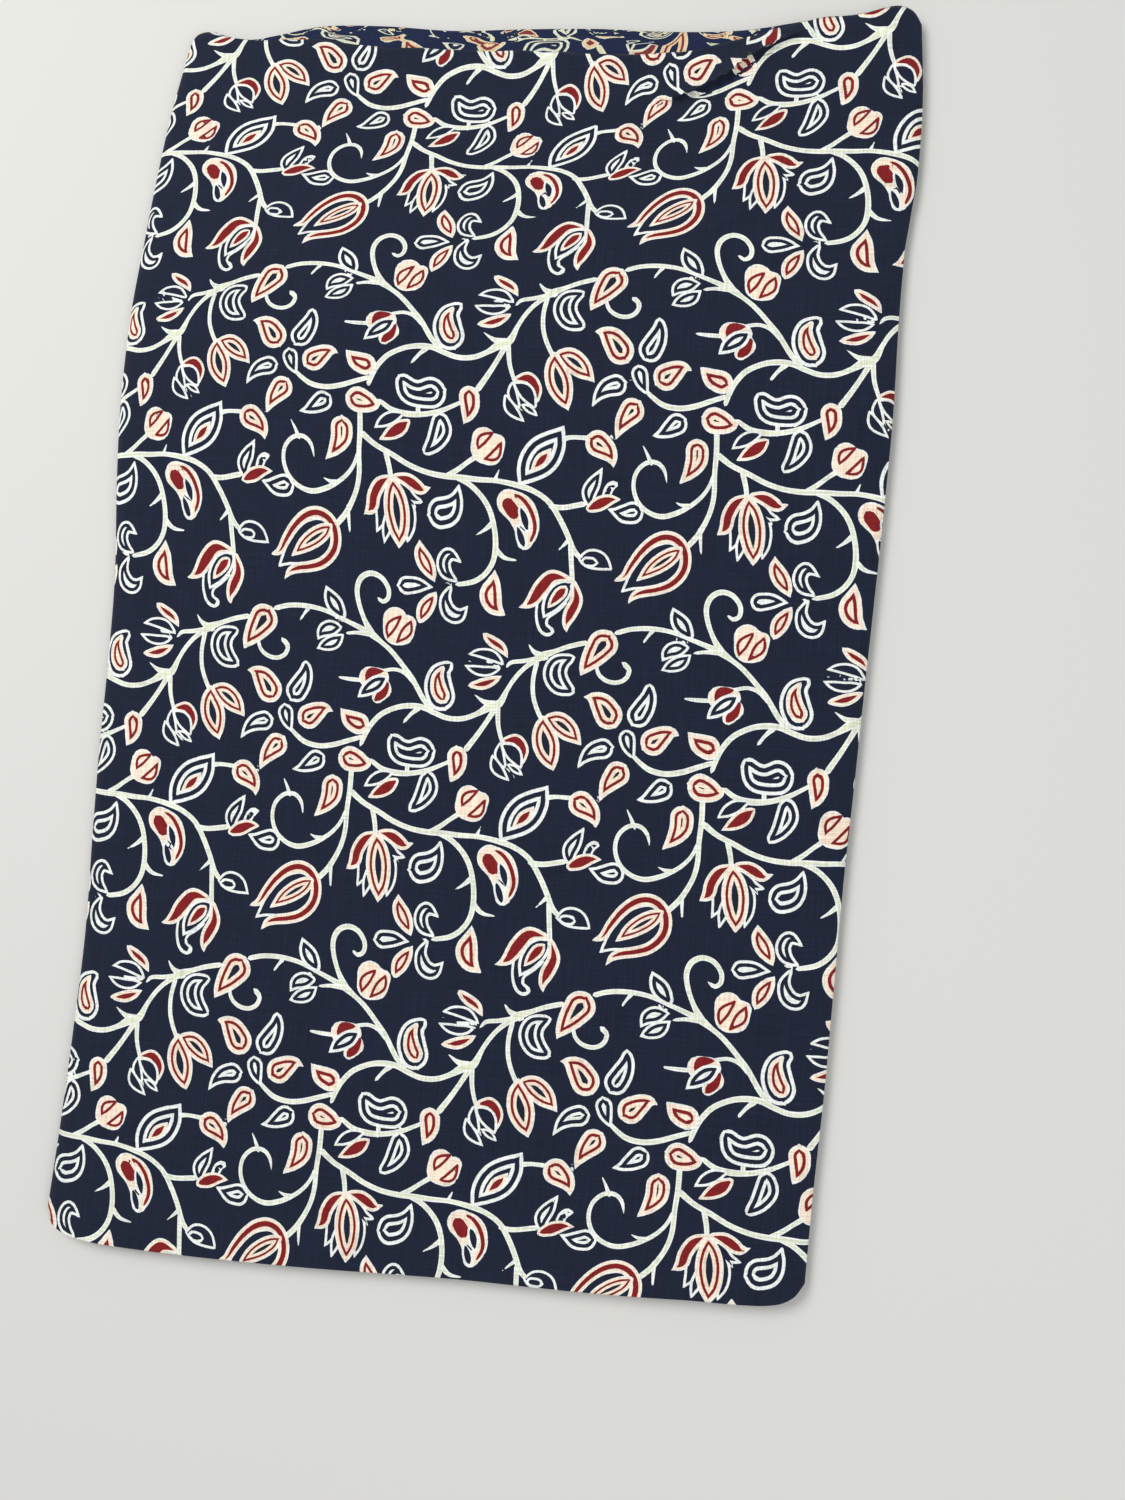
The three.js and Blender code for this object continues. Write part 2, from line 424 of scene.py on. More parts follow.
# %% The sheet as a mesh
mesh = bpy.data.meshes.new("folded_print_cloth")
mesh.from_pydata([tuple(p) for p in points / 1000], [], faces)
mesh.update()
cloth = bpy.data.objects.new("folded_print_cloth", mesh)
bpy.context.scene.collection.objects.link(cloth)
mesh.polygons.foreach_set("use_smooth", np.ones(len(faces), bool))
sides = np.concatenate([np.stack([np.array(f), np.roll(np.array(f), -1)], 1) for f in faces])
_, shared = np.unique(np.sort(sides, axis=1), axis=0, return_counts=True)
print("closed:", bool((shared == 2).all()))

# %% [markdown]
# ## The print
#
# The cloth carries a winding vine of the kind that block printers have cut for centuries:
# thorny stems, a lotus, paisleys, drops, buds and split fruit, outlined in white or peach
# with rings of navy or red inside. It is charted here, as a pattern maker does on squared
# paper. One repeat is a square, and each stroke is a line of points with a half width at
# each.
#
# An image could carry the print, but this cloth has none. A long chain of shader nodes could
# draw it too, but more than a hundred strokes are too many for that. So the strokes are
# worked out at the points of the mesh and stored as attributes: how far a point lies inside
# a stroke's left edge, and how far inside its right edge. The material takes the smaller of
# the two as the depth, and draws rings wherever it passes certain values. They stay crisp
# between the points, because each of the two changes evenly from point to point.
#
# Strokes that share one attribute would merge where they touch. So the stems are spread over
# four channels and the motifs over three levels, and each is painted over those before it.
#
# A stroke is written as "u v half-width, u v half-width, ...", in chart units.

# %% Stems and thorns
REPEAT = 250.0  # millimetres
CELL = 254.0  # chart units in one repeat
# Strokes that touch lie in different channels, so that each keeps its own two edges
STEMS = [
    # channel, stroke
    ("d", "114 147.5 3.59, 107 151 1.94, 102.5 157.5 0.504"),
    ("d", "81 108.5 3.59, 72.5 110.5 1.94, 65 115.5 0.504"),
    ("c", "83 107 2.16, 84 95 1.87, 86.5 86 1.73, 89 80 1.58"),
    ("c", "40 15 2.16, 47 19.5 2.02, 54 25 1.87, 61 30 2.16"),
    ("c", "24 102.5 2.3, 19 98 1.58, 14.5 92.5 1.44"),
    ("c", "229 24 1.44, 226 16 1.58, 221 9 1.73, 214 3 1.87, 205 -2 2.02, 194 -5 2.02, "
        "184 -2.5 1.87, 176.5 4 1.87, 173 14 1.73, 174.5 24 1.73, 181 31 1.8, 189 32 1.8, "
        "194.5 27 1.58, 196.5 18.5 0.576"),
    ("c", "240 157 3.12, 234 167 2.02, 229.5 178 2.02, 228 188 2.16, 231 196 2.3, 238 200 2.23, "
        "246 198 2.09, 251.5 191 1.94, 251.5 184 1.87, 247.5 181 1.73, 244 183 1.3"),
    ("c", "109.5 143 2.02, 107.5 130 1.87, 108 118 1.87, 111 108.5 1.87, 116 99 1.87"),
    ("c", "217 120 1.15, 225 119.5 1.73, 235 119.5 1.73"),
    ("c", "-4 128 1.73, 5 130 1.73, 13 127.5 1.87, 20 120.5 2.02"),
    ("c", "74 14.5 1.73, 76.8 21.5 0.576"),
    ("c", "128 -22 1.87, 119.5 -30 0.5"),
    ("c", "72.5 -13.5 2.16, 67 -17.5 1.37, 61.5 -20.5 0.72"),
    ("c", "75.5 -29 2.3, 82 -35 1.73, 91 -36.5 0.864"),
    ("c", "221 -13 1.87, 222.3 -27 0.936"),
    ("c", "191 169.5 1.87, 188 165.5 1.22, 185.5 161.5 1.15"),
    ("c", "19 55 1.87, 19 61 1.87"),
    ("c", "107.5 190 1.15, 107 178 1.22, 110 168 1.37, 115.5 164.3 1.44, 119.5 166.5 1.44, "
        "118.5 169.3 1.3, 114.8 171.5 1.15, 115.5 176.5 1.22, 122 181.5 1.3, 128 187 1.15"),
    ("c", "151.5 8 1.15, 153.5 14 1.15, 158 17 1.58, 162 16 0.864, 158.5 12.5 1.01, 156.5 8 1.01"),
    ("b", "46 14.5 2.16, 56 10 2.16, 65 2 2.16, 71 -7 2.16, 74.5 -18 2.16, 75.3 -29 2.3, "
        "73.5 -39 2.16, 68 -47.5 2.16, 60 -53 2.16, 49 -55.5 1.87"),
    ("b", "231 54 2.16, 231 40 2.16, 230 26 2.02, 230 12 2.02, 228.5 2 2.02, 225.5 -6 2.02, "
        "221 -14 2.16, 217 -19 2.16, 211 -25 2.16"),
    ("b", "166 167 2.02, 176 170 2.02, 190 171 2.02, 204 169.5 1.87, 218 165 1.87, 232 160 2.3, "
        "240 156.5 3.12, 247 151.5 2.16, 254 146 2.16, 260 139.5 2.16, 266 132 2.16, "
        "272 124.5 2.16, 277 116.5 2.16, 282 109 2.16, 288 103 2.16"),
    ("b", "237 78.5 1.87, 227 75 2.02, 216 71 2.16, 205 69 2.16, 194 70.5 2.16, 186 75.5 1.87, "
        "181 80 1.58"),
    ("b", "152 143 1.5, 154.5 135 1.7, 160.5 130.3 1.9, 168 129.5 1.9, 174 133 1.9, "
        "176 139.5 1.9, 172.5 143.5 2.3"),
    ("b", "81 106 2.3, 75 95.5 2.02, 69 86 2.16, 62 76 2.45"),
    ("b", "-8 62 1.87, 0 57 2.16, 10 55 2.45, 22 55.5 2.16, 34 58.5 2.02, 43 62.5 1.73, "
        "51 66.5 1.58"),
    ("b", "122 45 2.3, 129 46.5 1.73, 140 46.5 1.87"),
    ("b", "115 -1.5 2.16, 124 -1.5 2.02, 138 1.5 2.16"),
    ("b", "129.5 -26 2.16, 130.5 -38 2.02, 131.5 -48 2.02, 132 -54 2.02"),
    ("b", "-4.5 27 2.16, -2 17 2.02, -1 9 1.87"),
    ("b", "110 146 2.16, 100 143.5 2.02, 91 142 1.87, 87.5 138 1.15"),
    ("b", "213 2.5 2.16, 207.5 3 1.44, 203 5 0.5"),
    ("b", "185 31.5 1.87, 182.3 37.5 1.3, 179.3 43 0.576"),
    ("a", "-21 38 2.45, -12 31.5 2.16, 0 26 2.16, 12 20 2.16, 25 16 2.16, 38 14.5 2.3, "
        "50 14.5 2.3, 62 14 2.16, 76 14 2.02, 92 11.5 2.3, 103 8 2.16, 113 1.5 2.16, "
        "121 -9 2.16, 127 -19 2.16, 132 -29 2.16, 138 -35 1.8"),
    ("a", "-17 74 1.87, -14 82 2.16, -10 89 2.16, -3 96.5 2.16, 8 102 2.16, 18 104 2.3, "
        "28 103.5 2.3, 37 100 2.16, 47 97 2.16, 58 97.5 2.16, 68 101.5 2.16, 76 106.5 3.28, "
        "84 110 2.96, 89 120 1.94, 94 129 1.94, 100 137 2.02, 107 143.5 2.45, 113 148 3.43, "
        "122 152 2.16, 132 156 2.16, 143 159 2.16"),
    ("a", "222 155 1.44, 229 156.3 1.73, 239 156.5 2.45"),
]

print("stem strokes:", len(STEMS))

# %% Flowers, leaves and drops
# The depth of a motif is counted in rings, from the number that it has at the edge
MOTIFS = [
    # kind, level, ring width, ring number at the edge, stroke
    # lotus
    ("white_line", 0, 2, 0, "6 6 2.5, 11 1 4, 15 -2.5 3.2, 21 -4 1.5"),
    ("white_line", 0, 2, 0, "-4 2 3, -8 -8 4.5, -8.5 -17 4, -11.5 -24.5 0.8"),
    ("white_line", 0, 2, 0, "9 0 3, 13 -10 4.2, 13 -20 3.8, 11 -29 0.8"),
    ("white_line", 1, 2, 0, "-2 -12 3, -4 -21 4, -6 -31 0.8"),
    ("red_petal", 1, 2.6, 0, "-3 9.5 2.5, -9 5 4.8, -13.5 -3 5, -15 -10 4.5, -20 -14.5 0.8"),
    ("red_petal", 1, 2.6, 0, "3 11 2.5, 11 9.5 5, 18 5.5 5, 22 3.5 3, 27 5.5 0.8"),
    ("red_rings", 2, 3.1, 0, "0 9 2, 1.5 0 7.2, 3 -10 9.5, 4.5 -20 8, 5 -27 4.5, 5 -33.5 0.6"),
    # onion shaped bud
    ("white_line", 0, 2.2, 0, "168 -57 1, 175 -50.5 5.5, 184 -44 11, 194 -38 15, 199 -34.5 14"),
    ("red_petal", 1, 2.6, 0, "163.5 -49 1.4, 169 -46 3, 173.5 -38 3.7, 180 -28.5 4, "
        "188.5 -21 4.2, 197.5 -18 4.2, 206 -20.5 4.3, 211 -27.5 4.3, 211.5 -37 4.3, "
        "208 -45 4.3, 201 -51.5 4.2, 192 -55 4, 183 -57 3.8, 176.5 -60 2.8, 172.5 -65.5 0.5"),
    ("red_rings", 2, 2.4, 0, "178.5 -48.5 0.9, 187 -41 5.2, 195 -35 6.7, 202 -30 5.7, "
        "207 -26 2.6"),
    # tulip
    ("red_petal", 0, 2.8, 0, "128 205 2.6, 117 206 5.5, 109.5 198 6.3, 104 189.5 5, "
        "99 185.5 2.5, 94.5 184 0.6"),
    ("red_petal", 0, 2.8, 0, "133 201 2.6, 135.5 190 4.8, 131.5 180 5.3, 129 172.5 3, "
        "129.5 167.5 0.8"),
    ("white_line", 1, 2.4, 0, "112.5 177.5 1, 117 186 6.6, 122.5 194 8.4, 127 198.5 6"),
    ("red_petal", 1, 2.2, 0, "115.5 184.5 0.8, 119 189 3.6, 123.5 194.5 4.8, 126 197 3.2"),
    # split buds
    ("peach_disc", 0, 3.4, 0, "5 160 10.5, 3.5 169 9.5"),
    ("peach_disc", 0, 3.4, 0, "8 160 10, 14 168 5.5"),
    ("red_core", 1, 3.4, 1, "-1.5 156 0.8, 0.5 164 4, 7 171.5 1.2"),
    ("red_core", 2, 3.4, 1, "5.5 152.5 0.8, 12 161 4.2, 15 168.5 1"),
    ("peach_disc", 0, 3.4, 0, "66.5 35 10.2, 66 41.5 8.8"),
    ("peach_disc", 0, 3.4, 0, "70 34 10, 76 40.5 5.5"),
    ("red_core", 1, 3.4, 1, "62 35.5 0.8, 64.8 41.5 3.6, 71.5 46 1.2"),
    ("red_core", 2, 3.4, 1, "67 28.5 0.8, 74 31.5 3.6, 78 39.5 1"),
    ("white_rings", 0, 2.1, 0, "199.5 148.5 1.2, 203 154.5 5, 208.5 157.3 6.2, 215 158.8 2.5"),
    ("white_rings", 1, 2.1, 0, "200 141 1.2, 205.5 143.8 4.8, 211.5 147 5.8, 217.5 152.5 1.6"),
    # drops with a red ring
    ("red_rings", 0, 3.7, 0, "156 158 11.3, 150.5 149.5 9, 145 141 5, 141.5 134 0.5"),
    ("red_rings", 0, 3.7, 0, "229.5 62 9.4, 236 60.5 7.5, 242 59.5 3.6, 245.5 62.5 0.8"),
    ("red_rings", 0, 4, 0, "234 88 8.2, 228 90 7, 223 94 3.5, 220 97 0.8"),
    ("red_rings", 0, 3.5, 0, "163 106 10.2, 158 113 8.5, 151.5 117.5 4, 145.5 117.8 0.6"),
    ("red_rings", 0, 3.4, 0, "195.5 89.3 9.2, 202 94 6.8, 208 96.8 3.5, 213 95 0.6"),
    ("red_rings", 0, 3.3, 0, "171.5 66 8.8, 166 59.5 6.5, 162.5 53 3.5, 160.3 47 0.6"),
    ("red_rings", 0, 3.5, 0, "147.5 43 9.4, 153.5 39 7.2, 157.5 33.5 3.8, 158.5 28 0.6"),
    ("red_rings", 0, 3.3, 0, "217.5 41 8.2, 217 34 7.8, 212.5 26 5, 206 18.5 0.8"),
    ("red_rings", 0, 3.7, 0, "55.5 70 7.6, 56 64 7, 54.8 58 4.8, 52.5 53 1.5"),
    # leaves with a red ring
    ("red_rings", 0, 2.9, 0, "121 101 4, 128 98.5 8, 135 93.5 7.6, 141 88 3.6, 144.5 84 0.6"),
    ("red_rings", 1, 3.1, 0, "116.5 100 3, 117 92 7.6, 119.5 83 9.8, 122.5 74 7, 126 65 0.6"),
    ("red_rings", 0, 4, 0, "75.5 209.5 0.6, 74.5 200 5.5, 73 192 8.3, 76 184 6.2, 84 178 0.8"),
    ("red_rings", 0, 3.1, 0, "20 226.5 0.6, 21 219 5, 24.5 212 6.5, 28.5 205.5 4.5, "
        "31.5 199.5 0.6"),
    ("red_rings", 0, 3.1, 0, "33 191.5 0.6, 29.5 186 4.6, 25.5 179.5 6.3, 23 173.5 4.2, "
        "22 170.5 2"),
    ("red_petal", 0, 3, 0, "71 162.5 2.5, 76 158.5 4.3, 83 153.5 4, 87.5 146.5 0.8"),
    ("red_petal", 0, 2.9, 0, "63 122 2.5, 71 123.5 4.6, 78 126.5 3.7, 83.5 130 0.8"),
    # kidney with a red heart
    ("white_line", 0, 2.9, 0, "43.5 135.5 5.2, 38.5 130 8, 38 120 10.8, 40.5 112.5 10.8"),
    ("red_rings", 1, 3.1, 0, "40.5 134 2, 37.3 127 4.6, 38.3 118 6.3, 41 113 6.3"),
    # large paisley
    ("peach_disc", 0, 3.2, 0, "84.5 0 9.2, 93 -5 10.6, 97.5 -14.5 9.2, 96.3 -23.5 5.8"),
    ("red_spot", 1, 2, 1, "83.8 -1.6 4.3, 87.6 -6 4.3"),
    ("red_spot", 1, 2, 1, "89 5 0.9, 93.5 3 1.2, 99 -3 1.3, 102.8 -11 1.3, 103.2 -17 1.2, "
        "100.8 -22.7 0.9"),
    ("white_line", 2, 1.7, 1, "93.2 -4.5 0.9, 95.8 -10 2.3, 97.6 -15.5 0.9"),
    ("white_line", 2, 1.7, 1, "91.2 -16 0.9, 93.2 -20.5 2.1, 95 -25 1.7"),
    # bud of a small tulip
    ("white_rings", 0, 2.1, 0, "142 2 3, 141.5 9.5 5.6, 145 16.5 5, 150.5 26.5 0.6"),
    ("red_petal", 1, 2.1, 0, "143 -1 3.4, 149 2 5.2, 156 5 4, 163 5.5 0.8"),
    # split fruit
    ("peach_disc", 0, 2.9, 0, "240.5 122 8.6, 247.5 122.5 7.6"),
    ("peach_disc", 0, 2.9, 0, "250.5 114 7, 247 108 4.5"),
    ("red_spot", 1, 2, 1, "238.5 122 2, 241.5 126.3 3.4, 248 127.5 1.6"),
    ("red_spot", 1, 2, 1, "247 107.5 2.2, 250.5 111.5 3.4, 253.5 117.5 1.8"),
    ("white_rings", 2, 2.3, 0, "232.5 107.5 0.8, 238.5 113 5, 245.5 118 6.2, 251 122 3"),
    # double leaf
    ("white_line", 0, 2, 0, "-12 43.5 0.6, -6 48 4.2, 0 51.5 4.8, 6 54 2.5"),
    ("red_petal", 1, 2.2, 0, "-8.5 35.5 0.6, -1 40 4.4, 5.5 44.5 5.6, 11 49 2.6"),
    # round bud
    ("red_petal", 0, 2.1, 0, "90 83.5 2.6, 98 84.5 4.5, 103.5 78 4.2, 104 70 1.6"),
    ("white_line", 1, 2, 0, "90 79.5 3, 96.5 75 6.2, 101.5 67 2.6"),
    ("white_line", 0, 2, 0, "86.5 80 2, 86.5 73 4.2, 90 66 2.4"),
    ("white_line", 2, 2, 0, "82 71 2, 84.5 64.5 4.6, 89 60 3.6, 94.5 55.5 0.6"),
    ("white_line", 2, 1.8, 0, "94.5 66 1.8, 99 63.5 2.9, 103.5 60.3 1"),
    # petals and drops with white rings
    ("white_rings", 0, 2.3, 0, "11 194.5 6.8, 18 195.5 6, 24 195.5 3.6, 30 195 0.6"),
    ("white_rings", 0, 2.2, 0, "47.5 201 1.6, 40 206 4.8, 37.8 213.5 5.5, 42 219.5 4.8, "
        "51 214 0.6"),
    ("white_rings", 0, 2.2, 0, "43.5 196 1.8, 40 187.5 4.4, 43 178.5 6.2, 50 176 5.4, "
        "56.5 183 0.6"),
    ("white_line", 0, 2.2, 0, "59.5 147 0.8, 67 148.5 4, 76 147 5, 83.5 141.5 2.2"),
    ("white_line", 0, 2.2, 0, "57 137.5 0.6, 64 134.7 3.8, 71 133.6 4.6, 77 134.6 3.8, "
        "83 136.5 0.6"),
    ("white_rings", 0, 2.6, 0, "8.5 77 6.3, 13 71 9.3, 20 69.5 9.8, 28 71 11.3"),
    ("white_rings", 0, 2.4, 0, "132.5 146.5 4.2, 125 142 8, 123 134 9, 126.5 126.5 8.3, "
        "133.5 122.5 4.8"),
    ("white_rings", 0, 2.5, 0, "48 8 1.2, 46 -1 5.4, 41.5 -7.5 9, 35 -9.5 9.6"),
    ("white_rings", 0, 2.4, 0, "35 51.5 6.6, 35 45 8.3, 31 37 6.6, 26 31.5 4.2"),
    ("white_rings", 0, 2.3, 0, "203 58.5 7.6, 198 55 6, 192 51.5 3.2, 186.5 50 0.8"),
    ("white_rings", 0, 2.3, 0, "160.5 82.5 7.4, 154 80.5 6.4, 148 75.5 3.9, 143.5 68 0.6"),
    ("white_rings", 0, 2.5, 0, "184.5 107 8.6, 188 113 8, 190.6 120 6, 190.8 126 3.8"),
    ("white_rings", 0, 2.2, 0, "181.5 79 2, 178.5 85 5, 177 90.5 6.2"),
    ("white_rings", 0, 2.3, 0, "173 -3 7.8, 167 -4 6.4, 161 -3 3.2, 156 -1.5 0.8"),
    ("white_line", 0, 2, 0, "139 -35 3.6, 144.5 -34.5 7.2, 151 -36 6.6, 158.5 -41 1.5"),
    ("white_line", 1, 2, 0, "141 -36.5 3.8, 145.5 -36.8 3.8"),
    ("white_rings", 0, 2.4, 0, "204.5 186.5 0.6, 207.5 180 5, 211.5 174.5 6.8, 216.5 168.5 4"),
    # large leaf
    ("white_rings", 0, 3, 0, "92.5 14 2.2, 99.5 24.5 10, 107 32.5 13.4, 114 40 10.4, "
        "119 47 5.4, 123 53.5 0.6"),
    ("red_petal", 1, 2.7, 0, "100 22.5 0.8, 107 29.8 4.8, 113.5 37.5 1"),
]

print("motif strokes:", len(MOTIFS))

# %% Depth below a stroke's edges
OUTSIDE_FACING = 0.5  # outside a stroke, the most that the far edge counts for
THIN = 2.6  # half width under which it may count for more
THINNEST = 0.3  # no stroke gets a smaller half width
STROKE_REACH = 8.0  # how far outside a stroke its distances are still worked out
UNMEASURED, BARE = -99.0, -9.0  # before a stroke is measured, and where there is none
DISC = 0.6  # a plain disc stops before the ring number at which red starts
SINKING = (118, 45)  # chart height at which the print starts to sink, and over how much
RISING = (CELL + 4, 40)  # where it is back again, and over how much before that
SUNK = (3.7, 1.3, 45)  # how far it sinks, how uneven that is, and where it sinks most


def stroke_points(text):
    return np.array([[float(n) for n in point.split()] for point in text.split(",")])


def smooth_stroke(marks, steps=6):
    """A smooth line through the marks, with the half width as a third coordinate."""
    line = []
    for i in range(len(marks) - 1):
        p0, p1, p2 = marks[max(i - 1, 0)], marks[i], marks[i + 1]
        p3 = marks[min(i + 2, len(marks) - 1)]
        for s in range(steps):
            t = s / steps
            line.append(0.5 * (2 * p1 + (p2 - p0) * t + (2 * p0 - 5 * p1 + 4 * p2 - p3) * t**2
                               + (3 * p1 - p0 - 3 * p2 + p3) * t**3))
    line.append(marks[-1])
    line = np.array(line)
    line[:, 2] = np.maximum(line[:, 2], THINNEST)
    return line


def measure_stroke(uv, text):
    """Which points lie near a stroke, and how far inside its left and its right edge. The
    depth is the smaller of the two, and each of them changes evenly from point to point,
    across the stroke's middle too."""
    line = smooth_stroke(stroke_points(text))
    low, high = line[:, :2].min(0), line[:, :2].max(0)
    centre = (low + high) / 2
    local = (uv - centre + CELL / 2) % CELL - CELL / 2
    half = (high - low) / 2 + line[:, 2].max() + STROKE_REACH
    near = np.where((np.abs(local) < half).all(1))[0]
    place = local[near]
    depth = np.full(len(near), UNMEASURED)
    left, right = depth.copy(), depth.copy()
    for i in range(len(line) - 1):
        way = line[i + 1, :2] - line[i, :2]
        length = max(np.linalg.norm(way), 1e-6)
        off = place - (line[i, :2] - centre)
        on = np.clip((off @ way) / length**2, 0, 1)
        away = np.linalg.norm(off - on[:, None] * way, axis=1)
        inside = line[i, 2] + on * (line[i + 1, 2] - line[i, 2]) - away
        leftwards = (way[0] * off[:, 1] - way[1] * off[:, 0]) / length
        facing = inside + 2 * np.abs(leftwards)
        half_width = inside + away
        thin_most = np.maximum(OUTSIDE_FACING, 2 * half_width)
        most = np.where(half_width < THIN, thin_most, OUTSIDE_FACING)
        facing = np.where(inside < 0, np.minimum(facing, most), facing)
        deeper = inside > depth
        depth = np.where(deeper, inside, depth)
        left = np.where(deeper, np.where(leftwards >= 0, inside, facing), left)
        right = np.where(deeper, np.where(leftwards >= 0, facing, inside), right)
    return near, left, right


def settle(uv):
    """The upper part of a repeat sits a little lower on this cloth than on the chart."""
    u, v = uv[:, 0], uv[:, 1] % CELL
    rise = np.clip((v - SINKING[0]) / SINKING[1], 0, 1)
    fall = np.clip((RISING[0] - v) / RISING[1], 0, 1)
    part = rise**2 * (3 - 2 * rise) * fall**2 * (3 - 2 * fall)
    mean, uneven, peak = SUNK
    sunk = mean + uneven * np.cos(2 * np.pi * (u - peak) / CELL)
    return np.stack([u, v + sunk * part], 1)


def print_fields(uv):
    """For chart places, how far inside the left and right edges of the strokes they lie: in
    units for the four channels of stems, in rings for each kind of motif on each level."""
    uv = settle(uv)
    found = {}

    def lay(name, near, left, right):
        old_left = found.setdefault(name + "_left", np.full(len(uv), BARE))
        old_right = found.setdefault(name + "_right", np.full(len(uv), BARE))
        deeper = np.minimum(left, right) > np.minimum(old_left[near], old_right[near])
        old_left[near[deeper]], old_right[near[deeper]] = left[deeper], right[deeper]

    for channel, text in STEMS:
        lay("stem_" + channel, *measure_stroke(uv, text))
    for kind, level, ring, start, text in MOTIFS:
        near, left, right = measure_stroke(uv, text)
        left, right = start + left / ring, start + right / ring
        if kind == "peach_disc":
            kind = "red_petal"
            left = right = np.minimum(np.minimum(left, right), DISC)
        lay(f"{kind}_{level}", near, left, right)
    return found


# %% The print laid on the cloth
TURN, STRAIGHT = 0.0335, 0.9994  # the print lies askew on the pad: sine and cosine
PRINT_AT = (59.9, 174.8)  # place in the repeat, at the zero of the tables
CHART_MID = 120.0  # the repeat is stretched to the chart's units from here
PULLS = [  # where hands have pulled the cloth askew: middle, reach, and how far it moved
    ((-205, 195), (190, 165), (-24, 22)),
    ((-310, -170), (180, 400), (1, 17)),
    ((70, 260), (170, 120), (-9, 17)),
    ((20, 375), (150, 65), (2, -16)),
    ((-90, 380), (170, 80), (13, -5)),
    ((-280, 340), (110, 80), (-4, 10)),
    ((200, -140), (90, 60), (2, -6)),
    ((-250, -455), (130, 75), (3, 13)),
    ((130, -475), (170, 60), (-8, 11)),
]
TUCK, TUCK_REACH = 3.0, 42.0  # cloth that the pleat hides, and how far the print gives way


def tucked(x, y):
    """Beyond the pleat the print lies closer to it by the cloth that the pleat hides."""
    away, strength, beyond, crossing = beside(CREASES[0][3], x, y)
    amount = TUCK * np.clip(1 - away / TUCK_REACH, 0, 1) * strength * beyond
    return -amount[:, None] * crossing


shift = np.zeros((len(points), 2))
for middle, reach, moved in PULLS:
    off_x, off_y = (cloth_x - middle[0]) / reach[0], (cloth_y - middle[1]) / reach[1]
    near = np.exp(-(off_x**2) - off_y**2)
    shift += near[:, None] * np.array(moved)
shift += tucked(cloth_x + CENTRE[0], cloth_y + CENTRE[1])
lying_x, lying_y = cloth_x - shift[:, 0], cloth_y - shift[:, 1]
print_u = PRINT_AT[0] + STRAIGHT * lying_x + TURN * lying_y
print_v = PRINT_AT[1] - TURN * lying_x + STRAIGHT * lying_y
print_uv = np.stack([print_u, print_v], 1)
fields = print_fields(CHART_MID + (print_uv - CHART_MID) * CELL / REPEAT)
for name, values in fields.items():
    stored = mesh.attributes.new(name, "FLOAT", "POINT")
    stored.data.foreach_set("value", values.astype(np.float32))
print("print attributes:", ", ".join(fields))

# %% Maps of the cloth
# The first map runs with the weave, in metres. The second one gives every part its own room:
# the top layer's print as seen from above, two parts unrolled beside it, and the edges
TOP_AT, TOP_HIGH = 0.01, 0.98
UNROLLED_AT, UNROLLED_WIDE = 0.66, 0.3
UNROLLED = [(PRINT_BELOW, 0.03, 0.44), (REVERSE_SIDE, 0.53, 0.44)]  # part, foot, height
EDGES_AT, EDGES_WIDE, EDGES_FOOT, EDGES_HIGH = 0.985, 0.005, 0.03, 0.94
face_corners = np.array([len(f) for f in faces])
corner_part = np.repeat(face_part, face_corners)
corner_point = np.concatenate([np.array(f) for f in faces])
weave = mesh.uv_layers.new(name="cloth_run")
weave.data.foreach_set("uv", (print_uv[corner_point] / 1000).astype(np.float32).ravel())

place_across = np.zeros(len(points))
place_along = np.zeros(len(points))
for skin in skin_rows:
    for i, (run, index, at) in enumerate(skin):
        place_across[index] = at
        place_along[index] = i / (len(skin) - 1)
flat = points[corner_point] / 1000
low, high = points.min(0) / 1000, points.max(0) / 1000
map_uv = np.zeros((len(corner_point), 2))
top = corner_part == PRINT_ON_TOP
map_uv[top] = TOP_AT + (flat[top][:, :2] - low[:2]) / (high[1] - low[1]) * TOP_HIGH
for part, foot, size in UNROLLED:
    here = corner_part == part
    map_uv[here, 0] = UNROLLED_AT + place_across[corner_point[here]] * UNROLLED_WIDE
    along = place_along[corner_point[here]]
    start = along.min()
    map_uv[here, 1] = foot + (along - start) / (1 - start) * size
edges = corner_part == CUT_EDGES
map_uv[edges, 0] = EDGES_AT + EDGES_WIDE * (np.arange(len(corner_point))[edges] % 2)
map_uv[edges, 1] = EDGES_FOOT + place_along[corner_point[edges]] * EDGES_HIGH
baked = mesh.uv_layers.new(name="OFBake")
baked.data.foreach_set("uv", map_uv.astype(np.float32).ravel())
print("maps:", [m.name for m in mesh.uv_layers])

# %% [markdown]
# ## The cotton
#
# Plain woven dress cotton of about 125 g for each square metre, dyed navy and printed. Its
# surface is matt with a faint bloom of loose fibre, so it gets a high roughness and a little
# sheen. Thicker places in the yarn, slubs, run as short pale streaks both along and across
# the cloth. The threads are a third of a millimetre apart, too fine to show at this
# distance, so the weave's relief is drawn at three times that.
#
# The same cloth is seen from both sides, so one recipe makes both materials, with paler and
# bluer colours for the side that the dye has only soaked through to.

# %% Colours and nodes
def colour(hex_value):
    """sRGB hex to the linear colour that Blender mixes."""
    parts = [int(hex_value[i:i + 2], 16) / 255 for i in (1, 3, 5)]
    linear = [p / 12.92 if p <= 0.04045 else ((p + 0.055) / 1.055) ** 2.4 for p in parts]
    return (*linear, 1.0)


def add(tree, kind, settings=(), links=()):
    """Adds a node. Settings are for its own values or its inputs, links for its inputs."""
    node = tree.nodes.new(kind)
    for name, value in dict(settings).items():
        if isinstance(name, str) and hasattr(node, name):
            setattr(node, name, value)
        else:
            node.inputs[name].default_value = value
    for name, source in dict(links).items():
        tree.links.new(source, node.inputs[name])
    return node


